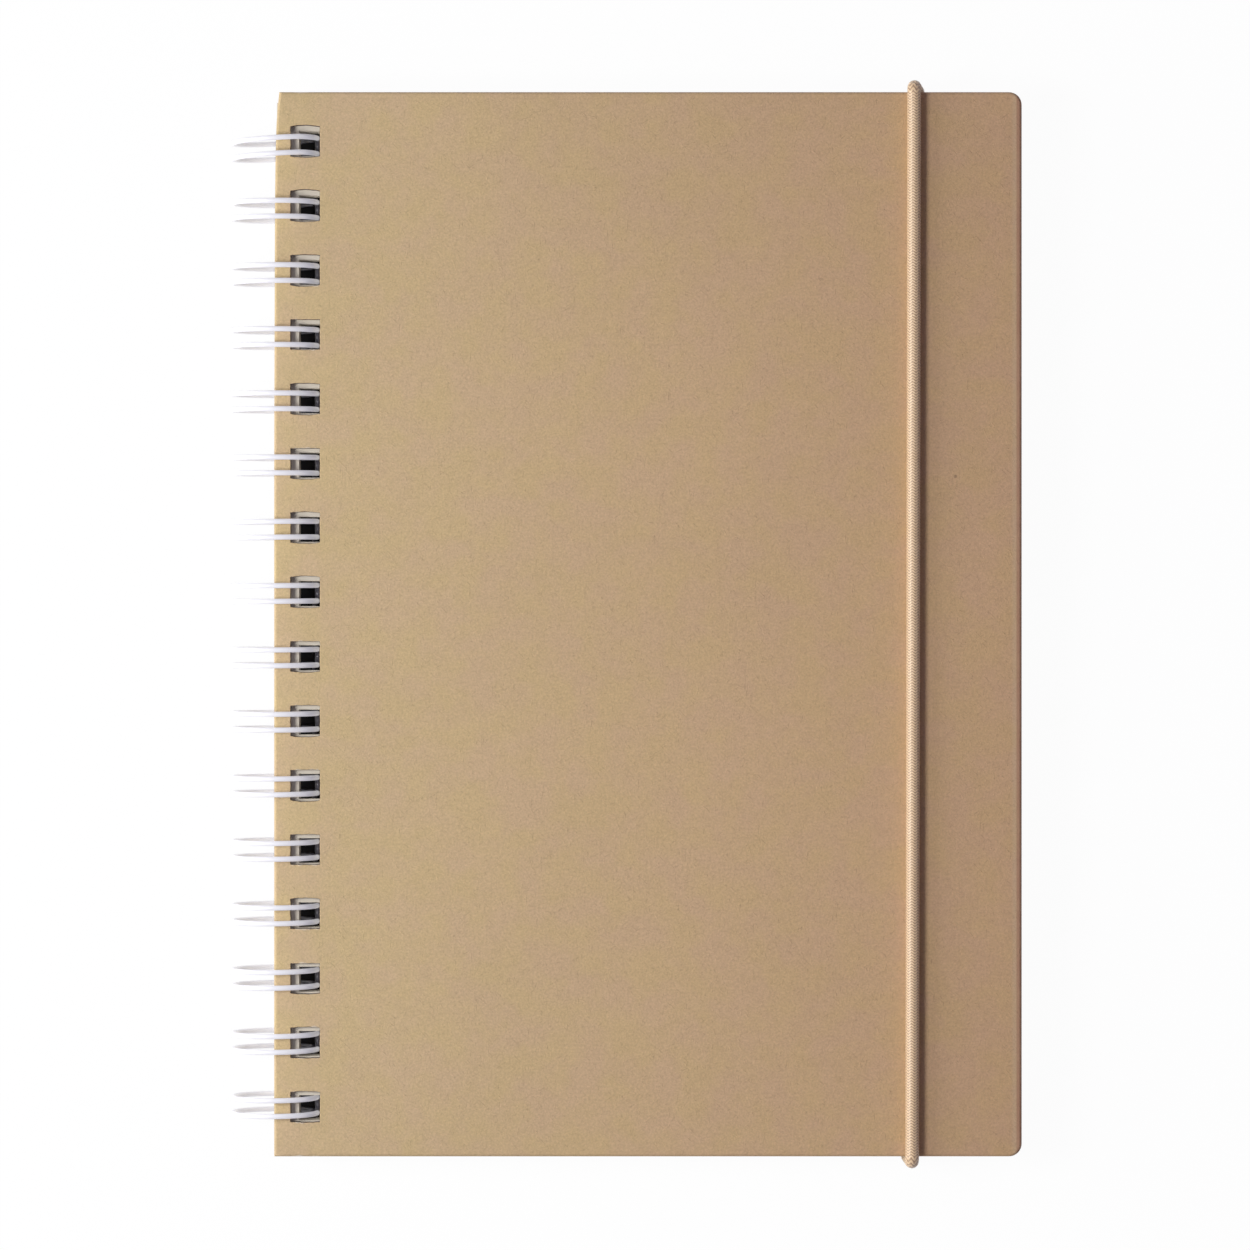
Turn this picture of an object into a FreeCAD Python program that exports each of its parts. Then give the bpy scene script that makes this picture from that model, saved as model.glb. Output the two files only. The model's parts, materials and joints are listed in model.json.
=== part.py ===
import FreeCAD, Part
import math
import os

# An A5 notebook bound with a double wire along its spine and held shut by a round elastic cord.
#
# It lies flat with its front cover up. +X runs from the spine to the fore-edge, +Y to the head of
# the pages and +Z up. The origin is under the middle of the whole notebook, on what it rests on.
# Sizes are in millimetres. Heights marked "level" are measured from the middle of the stack of
# covers and pages, where the wire rings have their common axis, which both covers turn about.

# Covers: two equal grey boards wrapped in kraft paper.
COVER_WIDTH = 147.5
COVER_LENGTH = 210.0
COVER_THICKNESS = 1.8
COVER_CORNER_RADIUS = 2.5

# Pages: one block of loose sheets, a little smaller than the covers.
SHEET_COUNT = 70
SHEET_THICKNESS = 0.1
PAGE_INSET_SPINE = 0.5
PAGE_INSET_FORE_EDGE = 2.5
PAGE_INSET_HEAD_AND_TAIL = 2.0
PAGE_CORNER_RADIUS = 2.5
PAGE_CLEARANCE = 0.1

# Punched holes: a row beside the spine, smaller in the pages than in the covers.
HOLE_COUNT = 16
HOLE_PITCH = 12.7
COVER_HOLE_MARGIN = 3.3
COVER_HOLE_WIDTH = 5.7
COVER_HOLE_LENGTH = 5.8
PAGE_HOLE_WIDTH = 4.6
PAGE_HOLE_LENGTH = 5.0
PAGE_HOLE_OFFSET = 0.95

# Binding wire: one long wire bent into a pair of rings for each hole.
WIRE_DIAMETER = 1.05
WIRE_CLEARANCE = 0.1
RING_PAIR_SPACING = 3.1
RING_AXIS_CLEARANCE = 0.1
RING_SLACK = 0.55
LINK_BEND_RADIUS = 1.0
SEAM_GAP = 0.35
WIRE_END_LENGTH = 0.8
TAILWARD_SHIFT = 0.3

# Elastic cord: it runs from one hole in the back cover round the front to the other hole.
CORD_DIAMETER = 2.5
CORD_CLEARANCE = 0.1
CORD_FROM_FORE_EDGE = 21.5
CORD_HOLE_CLEARANCE = 0.25
CORD_HOLE_FROM_EDGE = 12.0

# End clips: a flat metal bar on each end of the cord, inside the back cover.
CLIP_LENGTH = 9.0
CLIP_WIDTH = 4.0
CLIP_THICKNESS = 0.9

X_AXIS = FreeCAD.Vector(1, 0, 0)
Y_AXIS = FreeCAD.Vector(0, 1, 0)
Z_AXIS = FreeCAD.Vector(0, 0, 1)

# The stack, from the back cover up. The space under the pages holds the wire's links and the clips.
PAGE_THICKNESS = SHEET_COUNT * SHEET_THICKNESS
UNDER_PAGES = max(WIRE_DIAMETER + 2 * WIRE_CLEARANCE, CLIP_THICKNESS + PAGE_CLEARANCE)
STACK_THICKNESS = 2 * COVER_THICKNESS + UNDER_PAGES + PAGE_THICKNESS + PAGE_CLEARANCE
BACK_COVER_LEVEL = -STACK_THICKNESS / 2
BACK_INSIDE_LEVEL = BACK_COVER_LEVEL + COVER_THICKNESS
PAGE_LEVEL = BACK_INSIDE_LEVEL + UNDER_PAGES
FRONT_COVER_LEVEL = PAGE_LEVEL + PAGE_THICKNESS + PAGE_CLEARANCE
FRONT_TOP_LEVEL = FRONT_COVER_LEVEL + COVER_THICKNESS

# The rings reach almost to the far side of the holes in the pages, beside their axis.
PAGE_HOLE_MIDDLE = COVER_HOLE_MARGIN + COVER_HOLE_WIDTH / 2 + PAGE_HOLE_OFFSET
RING_OUTER_RADIUS = RING_AXIS_CLEARANCE + PAGE_HOLE_MIDDLE + PAGE_HOLE_WIDTH / 2 - RING_SLACK
RING_RADIUS = RING_OUTER_RADIUS - WIRE_DIAMETER / 2

# The cord's centre line stays this far off the faces and edges that it runs along.
CORD_RADIUS = CORD_DIAMETER / 2
CORD_STANDOFF = CORD_CLEARANCE + CORD_RADIUS
CORD_HOLE_RADIUS = CORD_RADIUS + CORD_HOLE_CLEARANCE

# Places in the finished frame.
TOTAL_WIDTH = RING_OUTER_RADIUS + RING_AXIS_CLEARANCE + COVER_WIDTH
AXIS_X = RING_OUTER_RADIUS - TOTAL_WIDTH / 2
AXIS_Z = max(RING_OUTER_RADIUS, STACK_THICKNESS / 2 + CORD_CLEARANCE + CORD_DIAMETER)
SPINE_X = AXIS_X + RING_AXIS_CLEARANCE
FORE_EDGE_X = SPINE_X + COVER_WIDTH
CORD_X = FORE_EDGE_X - CORD_FROM_FORE_EDGE
CORD_HOLE_Y = COVER_LENGTH / 2 - CORD_HOLE_FROM_EDGE


def height(level):
    """The height above the resting plane of a level in the stack."""
    return AXIS_Z + level


def hole_places():
    """The Y of each hole in the covers, from the tail to the head."""
    first = -HOLE_PITCH * (HOLE_COUNT - 1) / 2
    return [first + HOLE_PITCH * number for number in range(HOLE_COUNT)]


def one_solid(pieces):
    """Pieces that touch or overlap, fused into one clean solid."""
    return pieces[0].multiFuse(pieces[1:]).removeSplitter().Solids[0]


# Boards and pages


def sheet(left, right, half_length, bottom, thickness, corner_radius):
    """A flat rectangular slab with square corners at the spine and round ones at the fore-edge."""
    slab = Part.makeBox(right - left, 2 * half_length, thickness,
                        FreeCAD.Vector(left, -half_length, bottom))
    corners = [edge for edge in slab.Edges
               if edge.BoundBox.ZLength > thickness / 2 and edge.BoundBox.XMax > right - corner_radius]
    return slab.makeFillet(corner_radius, corners)


def punch(slab, left, width, length, shift):
    """Cut the row of rectangular binding holes through a slab."""
    box = slab.BoundBox
    cutters = []
    for place in hole_places():
        corner = FreeCAD.Vector(left, place + shift - length / 2, box.ZMin - 1)
        cutters.append(Part.makeBox(width, length, box.ZLength + 2, corner))
    return slab.cut(cutters)


def cover(level):
    """A cover board with its binding holes, its outer or inner face at this level."""
    board = sheet(SPINE_X, FORE_EDGE_X, COVER_LENGTH / 2, height(level),
                  COVER_THICKNESS, COVER_CORNER_RADIUS)
    hole_left = SPINE_X + COVER_HOLE_MARGIN
    return punch(board, hole_left, COVER_HOLE_WIDTH, COVER_HOLE_LENGTH, 0).Solids[0]


def back_cover():
    """The back cover, which also has a round hole for each end of the elastic cord."""
    board = cover(BACK_COVER_LEVEL)
    for side in (-1, 1):
        foot = FreeCAD.Vector(CORD_X, side * CORD_HOLE_Y, height(BACK_COVER_LEVEL) - 1)
        board = board.cut(Part.makeCylinder(CORD_HOLE_RADIUS, COVER_THICKNESS + 2, foot, Z_AXIS))
    return board.Solids[0]


def page_block():
    """All the sheets as one block, with its own smaller holes."""
    block = sheet(SPINE_X + PAGE_INSET_SPINE, FORE_EDGE_X - PAGE_INSET_FORE_EDGE,
                  COVER_LENGTH / 2 - PAGE_INSET_HEAD_AND_TAIL, height(PAGE_LEVEL),
                  PAGE_THICKNESS, PAGE_CORNER_RADIUS)
    hole_left = SPINE_X + PAGE_HOLE_MIDDLE - PAGE_HOLE_WIDTH / 2
    return punch(block, hole_left, PAGE_HOLE_WIDTH, PAGE_HOLE_LENGTH, -TAILWARD_SHIFT).Solids[0]


# Round wire and cord


def straight_rod(start, end, radius):
    """A round rod from one point to another."""
    run = end - start
    return Part.makeCylinder(radius, run.Length, start, run)


def bent_rod(start, heading, centre, turn_degrees, radius):
    """A round rod that sets out along a heading and bends about a centre beside its start."""
    disc = Part.Face(Part.Wire(Part.makeCircle(radius, start, heading)))
    bend_axis = (start - centre).cross(heading)
    return disc.revolve(centre, bend_axis, turn_degrees)


def ring_point(angle, y):
    """The point of the rings' centre line at an angle above +X about their axis."""
    return FreeCAD.Vector(AXIS_X + RING_RADIUS * math.cos(angle), y,
                          AXIS_Z + RING_RADIUS * math.sin(angle))


def ring_heading(angle):
    """The way the rings run at an angle, going down past the fore-edge side."""
    return FreeCAD.Vector(math.sin(angle), 0, -math.cos(angle))


# The links lie on the back cover, under the pages. The rings leave them downwards, go all the way
# round and come down through the pages, where their tips stop just above the links.
LINK_LEVEL = BACK_INSIDE_LEVEL + WIRE_CLEARANCE + WIRE_DIAMETER / 2
LINK_ANGLE = math.asin(LINK_LEVEL / math.hypot(RING_RADIUS, LINK_BEND_RADIUS))
ROOT_ANGLE = LINK_ANGLE - math.atan(LINK_BEND_RADIUS / RING_RADIUS)
TIP_BEND_RADIUS = RING_PAIR_SPACING / 2
TIP_ANGLE = (LINK_ANGLE + (WIRE_DIAMETER + SEAM_GAP) / RING_RADIUS
             + math.atan(TIP_BEND_RADIUS / RING_RADIUS))


def double_ring(middle, link_before, link_after):
    """One pair of rings: two legs, the round tip that joins them and half a link on each side."""
    radius = WIRE_DIAMETER / 2
    axis = FreeCAD.Vector(AXIS_X, middle, AXIS_Z)
    sweep = 360 - math.degrees(TIP_ANGLE - ROOT_ANGLE)
    pieces = []
    for side, link in ((-1, link_before), (1, link_after)):
        leg_y = middle + side * TIP_BEND_RADIUS
        root = ring_point(ROOT_ANGLE, leg_y)
        down = ring_heading(ROOT_ANGLE)
        axis_here = FreeCAD.Vector(axis.x, leg_y, axis.z)
        pieces.append(bent_rod(root, down, axis_here, sweep, radius))
        outward = Y_AXIS * side
        bend_centre = root + outward * LINK_BEND_RADIUS
        pieces.append(bent_rod(root, -down, bend_centre, 90, radius))
        link_start = bend_centre - down * LINK_BEND_RADIUS
        pieces.append(straight_rod(link_start, link_start + outward * link, radius))
    tip = ring_point(TIP_ANGLE, middle - TIP_BEND_RADIUS)
    tip_centre = ring_point(TIP_ANGLE, middle)
    pieces.append(bent_rod(tip, ring_heading(TIP_ANGLE), tip_centre, 180, radius))
    return one_solid(pieces)


def binding_wire():
    """The whole wire: every pair of rings, joined by the links between them."""
    half_link = HOLE_PITCH / 2 - TIP_BEND_RADIUS - LINK_BEND_RADIUS
    rings = []
    for number, place in enumerate(hole_places()):
        before = WIRE_END_LENGTH if number == 0 else half_link
        after = WIRE_END_LENGTH if number == HOLE_COUNT - 1 else half_link
        rings.append(double_ring(place - TAILWARD_SHIFT, before, after))
    return one_solid(rings)


def elastic_cord():
    """The cord: up from a clip, out under the back cover, round both edges and over the front."""
    edge_y = COVER_LENGTH / 2
    below = height(BACK_COVER_LEVEL) - CORD_STANDOFF
    above = height(FRONT_TOP_LEVEL) + CORD_STANDOFF
    bend_z = below + CORD_HOLE_RADIUS
    pieces = []
    for side in (-1, 1):
        out = Y_AXIS * side
        hole_y = side * CORD_HOLE_Y
        pull_y = side * (CORD_HOLE_Y + CORD_HOLE_RADIUS)
        clip_end = FreeCAD.Vector(CORD_X, hole_y, height(BACK_INSIDE_LEVEL))
        hole_bend = FreeCAD.Vector(CORD_X, hole_y, bend_z)
        pieces.append(straight_rod(clip_end, hole_bend, CORD_RADIUS))
        bend_centre = FreeCAD.Vector(CORD_X, pull_y, bend_z)
        pieces.append(bent_rod(hole_bend, -Z_AXIS, bend_centre, 90, CORD_RADIUS))
        under_start = FreeCAD.Vector(CORD_X, pull_y, below)
        under_end = FreeCAD.Vector(CORD_X, side * edge_y, below)
        pieces.append(straight_rod(under_start, under_end, CORD_RADIUS))
        lower_edge = FreeCAD.Vector(CORD_X, side * edge_y, height(BACK_COVER_LEVEL))
        upper_edge = FreeCAD.Vector(CORD_X, side * edge_y, height(FRONT_TOP_LEVEL))
        pieces.append(bent_rod(under_end, out, lower_edge, 90, CORD_RADIUS))
        rise_start = lower_edge + out * CORD_STANDOFF
        rise_end = upper_edge + out * CORD_STANDOFF
        pieces.append(straight_rod(rise_start, rise_end, CORD_RADIUS))
        pieces.append(bent_rod(rise_end, Z_AXIS, upper_edge, 90, CORD_RADIUS))
    over_start = FreeCAD.Vector(CORD_X, -edge_y, above)
    over_end = FreeCAD.Vector(CORD_X, edge_y, above)
    pieces.append(straight_rod(over_start, over_end, CORD_RADIUS))
    return one_solid(pieces)


def cord_length():
    """The length of the cord's centre line from one clip to the other."""
    half_turn = math.pi * CORD_STANDOFF + STACK_THICKNESS
    hole_end = math.pi / 2 * CORD_HOLE_RADIUS + COVER_THICKNESS - (CORD_HOLE_RADIUS - CORD_STANDOFF)
    under = CORD_HOLE_FROM_EDGE - CORD_HOLE_RADIUS
    return COVER_LENGTH + 2 * (half_turn + hole_end + under)


def end_clip(side):
    """The flat bar with round ends that stops one end of the cord inside the back cover."""
    end_radius = CLIP_WIDTH / 2
    half_straight = CLIP_LENGTH / 2 - end_radius
    floor = height(BACK_INSIDE_LEVEL)
    middle_y = side * CORD_HOLE_Y
    corner = FreeCAD.Vector(CORD_X - half_straight, middle_y - end_radius, floor)
    pieces = [Part.makeBox(2 * half_straight, CLIP_WIDTH, CLIP_THICKNESS, corner)]
    for end in (-1, 1):
        foot = FreeCAD.Vector(CORD_X + end * half_straight, middle_y, floor)
        pieces.append(Part.makeCylinder(end_radius, CLIP_THICKNESS, foot, Z_AXIS))
    return one_solid(pieces)


nodes = {
    "front_cover": cover(FRONT_COVER_LEVEL),
    "back_cover": back_cover(),
    "page_block": page_block(),
    "binding_wire": binding_wire(),
    "elastic_cord": elastic_cord(),
    "cord_clip_head": end_clip(1),
    "cord_clip_tail": end_clip(-1),
}

os.makedirs("parts", exist_ok=True)
for name, shape in nodes.items():
    shape.exportStep("parts/" + name + ".step")
    print(name, len(shape.Solids), "solid", round(shape.Volume, 1), "mm3", "valid", shape.isValid())

section = math.pi * CORD_RADIUS ** 2
print("cord length", round(cord_length(), 2), "section x length", round(section * cord_length(), 1))
print("axis x", round(AXIS_X, 3), "axis z", round(AXIS_Z, 3), "ring radius", round(RING_RADIUS, 3))
print("spine x", round(SPINE_X, 3), "stack", round(STACK_THICKNESS, 3), "cord x", round(CORD_X, 3))
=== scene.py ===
# %% [markdown]
# # A wire-bound notebook, piece by piece
#
# The notebook is a small stack: a stiff kraft-covered board, a block of loose sheets and a second
# board. A white double wire holds them along the spine, and a round braided elastic cord keeps
# them shut. The measured model says where each piece is. This file gives each piece its surface
# and its finer shape, and leaves its size and place alone.
#
# Each step starts with a few words on what the piece is and why it is modelled that way.

import json
import math
import random

import bmesh
import bpy
from mathutils import Matrix, Vector


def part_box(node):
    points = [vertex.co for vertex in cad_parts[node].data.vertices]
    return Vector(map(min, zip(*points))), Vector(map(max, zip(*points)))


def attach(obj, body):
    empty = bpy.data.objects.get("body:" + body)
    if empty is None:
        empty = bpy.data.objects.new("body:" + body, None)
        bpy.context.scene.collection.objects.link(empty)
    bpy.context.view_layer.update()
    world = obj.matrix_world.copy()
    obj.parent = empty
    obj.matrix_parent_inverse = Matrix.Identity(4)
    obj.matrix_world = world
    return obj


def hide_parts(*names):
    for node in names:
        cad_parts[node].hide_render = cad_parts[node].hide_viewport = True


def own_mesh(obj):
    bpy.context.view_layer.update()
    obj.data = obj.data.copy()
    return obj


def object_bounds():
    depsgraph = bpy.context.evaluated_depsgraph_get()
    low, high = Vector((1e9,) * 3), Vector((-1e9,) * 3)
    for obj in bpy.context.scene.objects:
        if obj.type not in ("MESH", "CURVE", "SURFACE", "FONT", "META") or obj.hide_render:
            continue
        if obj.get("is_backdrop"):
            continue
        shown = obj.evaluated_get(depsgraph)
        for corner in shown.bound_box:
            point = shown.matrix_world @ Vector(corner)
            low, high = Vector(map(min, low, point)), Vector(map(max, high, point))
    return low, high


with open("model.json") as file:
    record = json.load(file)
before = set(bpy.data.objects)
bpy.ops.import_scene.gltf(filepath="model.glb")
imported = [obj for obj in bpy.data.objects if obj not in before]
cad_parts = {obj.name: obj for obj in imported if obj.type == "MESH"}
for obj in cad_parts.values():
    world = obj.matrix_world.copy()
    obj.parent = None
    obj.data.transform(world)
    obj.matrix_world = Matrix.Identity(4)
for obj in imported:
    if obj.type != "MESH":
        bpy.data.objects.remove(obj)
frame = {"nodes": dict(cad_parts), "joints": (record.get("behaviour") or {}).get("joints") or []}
cad_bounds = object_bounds()

MM = 0.001
UP = Vector((0, 0, 1))
ALONG = Vector((0, 1, 0))

print("loaded nodes:", ", ".join(sorted(frame["nodes"])))

# %% [markdown]
# ## Places that every piece shares
#
# The boxes of the measured pieces give their places. Only what a box can't tell, such as the holes,
# is written here as a size of its own. Both covers turn about the common axis of the wire rings.

# %% Read the places from the frame
front_low, front_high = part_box("front_cover")
back_low, back_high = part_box("back_cover")
pages_low, pages_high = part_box("page_block")
wire_low, wire_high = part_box("binding_wire")
cord_low, cord_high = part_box("elastic_cord")
ring_axis = Vector(frame["joints"][0]["pos_m"])

HOLE_COUNT = 16
HOLE_PITCH = 12.7 * MM
COVER_HOLE = Vector((5.7 * MM, 5.8 * MM))
COVER_HOLE_MARGIN = 3.3 * MM
PAGE_HOLE = Vector((4.6 * MM, 5.0 * MM))
PAGE_HOLE_OFFSET = 0.95 * MM
TAILWARD_SHIFT = 0.3 * MM
CORNER_RADIUS = 2.5 * MM

spine_x = front_low.x
fore_edge_x = front_high.x
hole_middle_x = spine_x + COVER_HOLE_MARGIN + COVER_HOLE.x / 2
hole_places = [(number - (HOLE_COUNT - 1) / 2) * HOLE_PITCH for number in range(HOLE_COUNT)]
print("rings turn about x", round(ring_axis.x / MM, 2), "z", round(ring_axis.z / MM, 2), "mm")

# %% [markdown]
# ## The camera and the light
#
# The photo looks straight down from well above, so far parts shrink only a little. A long lens at
# 1.15 m gives the same picture. One soft lamp on the left makes the cord's shadow, and it stands
# so near that the right side of the cover is dimmer. A larger, lower lamp behind it lights the
# cord's left flank. The world fills in.

# %% Camera
VIEW_WIDTH = 246.55 * MM
VIEW_DOWN = 0.15 * MM
CAMERA_DISTANCE = 1.15
SENSOR = 36.0

bpy.ops.object.select_all(action="DESELECT")
bpy.ops.object.camera_add(location=(0, -VIEW_DOWN, front_high.z + CAMERA_DISTANCE))
camera = bpy.context.object
camera.name = "camera"
camera.data.sensor_width = SENSOR
camera.data.lens = SENSOR * CAMERA_DISTANCE / VIEW_WIDTH
camera.data.clip_start = 0.01
bpy.context.scene.camera = camera
print("lens", round(camera.data.lens, 1), "mm at", CAMERA_DISTANCE, "m")

# %% Lamp and world
LAMPS = {
    "key_lamp": {"place": Vector((-0.37, -0.02, 0.53)), "size": 0.19, "power": 2.7},
    "low_lamp": {"place": Vector((-0.85, -0.02, 0.31)), "size": 0.50, "power": 4.4},
}
FILL = 0.20
FILL_TINT = (0.80, 0.72, 1.0)

for lamp_name, choice in LAMPS.items():
    bpy.ops.object.light_add(type="AREA", location=choice["place"])
    lamp = bpy.context.object
    lamp.name = lamp_name
    lamp.rotation_euler = (-choice["place"]).to_track_quat("-Z", "Y").to_euler()
    lamp.data.size = choice["size"]
    lamp.data.energy = choice["power"]
    lamp.visible_camera = False
print("lamps:", ", ".join(LAMPS))


def link_all(tree, pairs):
    """Join the given pairs of sockets, from an output to an input."""
    for source, target in pairs:
        tree.links.new(source, target)


scene = bpy.context.scene
scene.view_settings.view_transform = "Standard"
world = bpy.data.worlds.new("studio")
scene.world = world
world.use_nodes = True
world_nodes = world.node_tree.nodes
fill_light = world_nodes["Background"]
fill_light.inputs["Color"].default_value = (*FILL_TINT, 1)
fill_light.inputs["Strength"].default_value = FILL
white_seen = world_nodes.new("ShaderNodeBackground")
white_seen.inputs["Color"].default_value = (1, 1, 1, 1)
ray = world_nodes.new("ShaderNodeLightPath")
seen_or_glossy = world_nodes.new("ShaderNodeMath")
seen_or_glossy.operation = "MAXIMUM"
any_direct = world_nodes.new("ShaderNodeMath")
any_direct.operation = "MAXIMUM"
choose = world_nodes.new("ShaderNodeMixShader")
link_all(world.node_tree, [
    (ray.outputs["Is Camera Ray"], seen_or_glossy.inputs[0]),
    (ray.outputs["Is Glossy Ray"], seen_or_glossy.inputs[1]),
    (seen_or_glossy.outputs[0], any_direct.inputs[0]),
    (ray.outputs["Is Transmission Ray"], any_direct.inputs[1]),
    (any_direct.outputs[0], choose.inputs[0]),
    (fill_light.outputs[0], choose.inputs[1]),
    (white_seen.outputs[0], choose.inputs[2]),
    (choose.outputs[0], world_nodes["World Output"].inputs["Surface"]),
])

# %% [markdown]
# ## A small language for finishes
#
# A finish is a handful of noise patterns that are added, multiplied and clipped. Wired by hand,
# that is a tangle of Math nodes. Here one class wraps a socket, so that `1 - mask * 0.5` is
# written as it is read, and one method makes any other node.

# %% Finishes


class Value:
    """A node's output that Python sums can use: each operator adds a Math node."""

    def __init__(self, finish, socket):
        self.finish = finish
        self.socket = socket

    def math(self, operation, first, second, clip=False):
        settings = {"operation": operation, "use_clamp": clip}
        return self.finish.node("ShaderNodeMath", settings, {0: first, 1: second})

    def __add__(self, other):
        return self.math("ADD", self, other)

    def __sub__(self, other):
        return self.math("SUBTRACT", self, other)

    def __rsub__(self, other):
        return self.math("SUBTRACT", other, self)

    def __mul__(self, other):
        return self.math("MULTIPLY", self, other)

    __radd__ = __add__
    __rmul__ = __mul__

    def nearest(self, centre, spacing):
        """The distance to the nearest of a row of places that are this far apart."""
        return self.math("PINGPONG", self - centre, spacing / 2)

    def or_where(self, other):
        """The larger of two masks."""
        return self.math("MAXIMUM", self, other)

    def above(self, threshold, softness):
        """0 below the threshold and 1 above it, with a soft step between."""
        return self.math("MULTIPLY", self - threshold, 1 / softness, clip=True)

    def below(self, threshold, softness):
        """1 below the threshold and 0 above it, with a soft step between."""
        return 1 - self.above(threshold, softness)


class Finish:
    """A material with its main shader, and the nodes that feed it."""

    def __init__(self, name, **constants):
        self.material = bpy.data.materials.new(name)
        self.material.use_nodes = True
        self.tree = self.material.node_tree
        self.shader = self.tree.nodes["Principled BSDF"]
        for socket, value in constants.items():
            self.shader.inputs[socket.replace("_", " ")].default_value = value

    def node(self, kind, settings=None, inputs=None, output=0):
        """Add a node: its settings first, then the values or links of its sockets."""
        made = self.tree.nodes.new(kind)
        for name, value in (settings or {}).items():
            setattr(made, name, value)
        for key, value in (inputs or {}).items():
            if isinstance(value, Value):
                self.tree.links.new(value.socket, made.inputs[key])
            else:
                made.inputs[key].default_value = value
        return Value(self, made.outputs[output])

    def place(self, stretch=(1, 1, 1), turn=0.0):
        """The point on the object in metres, on axes that are turned and then stretched."""
        here = self.node("ShaderNodeTexCoord", output="Object")
        return self.node("ShaderNodeMapping", {"vector_type": "TEXTURE"},
                         {"Vector": here, "Scale": stretch, "Rotation": (0, 0, turn)})

    def noise(self, size, detail=2.0, where=None, roughness=0.5):
        """Soft random blotches of about this size in metres, mostly from 0.3 to 0.7."""
        return self.node("ShaderNodeTexNoise", None, {
            "Vector": where or self.place(), "Scale": 1 / size,
            "Detail": detail, "Roughness": roughness})

    def mix(self, amount, first, second, how="MIX"):
        """Two colours mixed by an amount from 0 to 1."""
        return self.node("ShaderNodeMix", {"data_type": "RGBA", "blend_type": how},
                         {0: amount, 6: first, 7: second}, output=2)

    def feed(self, **sockets):
        """Link values to the main shader's sockets."""
        for name, value in sockets.items():
            self.tree.links.new(value.socket, self.shader.inputs[name.replace("_", " ")])

    def bump(self, height, depth):
        """Raise the surface by height times depth, in metres, without moving it."""
        normal = self.node("ShaderNodeBump", None,
                           {"Height": height, "Distance": depth, "Strength": 1.0})
        self.feed(Normal=normal)


def screen(red, green, blue):
    """A colour read off a screen, 0 to 255, as the linear colour that a socket takes."""
    linear = [((c / 255 + 0.055) / 1.055) ** 2.4 if c > 10 else c / 255 / 12.92
              for c in (red, green, blue)]
    return (*linear, 1)


# %% [markdown]
# ## Kraft paper
#
# Kraft is unbleached pulp: a warm tan with blotches that drift between yellow and pink, a grain
# finer than a millimetre, short fibres that lie every way and a few dark specks of bark. Each is
# one noise pattern on the object's own coordinates, so that it stays put on the cover. Towards
# the fore-edge, away from the lamps, a painted shade makes the paper redder and darker. Along that
# edge a painted shade, broken by noise, darkens the rounded edge, with a painted highlight in a
# strip just inside it, and beside the holes the paper is torn pale.

# %% Kraft finish
KRAFT_YELLOW = screen(196, 174, 130)
KRAFT_PINK = screen(196, 172, 135)
# A painted shade towards the fore-edge, away from the lamps: green and blue fall off, so the paper
# turns redder and darker.
FORE_EDGE_SHADE = (1.0, 0.865, 0.865, 1.0)
# A painted shade along the rounded fore-edge.
EDGE_SHADE = screen(166, 122, 98)
# A painted highlight in a strip just inside the fore-edge.
EDGE_HIGHLIGHT = screen(196, 178, 150)
TORN_FIBRE = screen(222, 210, 188)
FIBRE_WAYS = 7
SPECK_SPACING = 19 * MM


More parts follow.
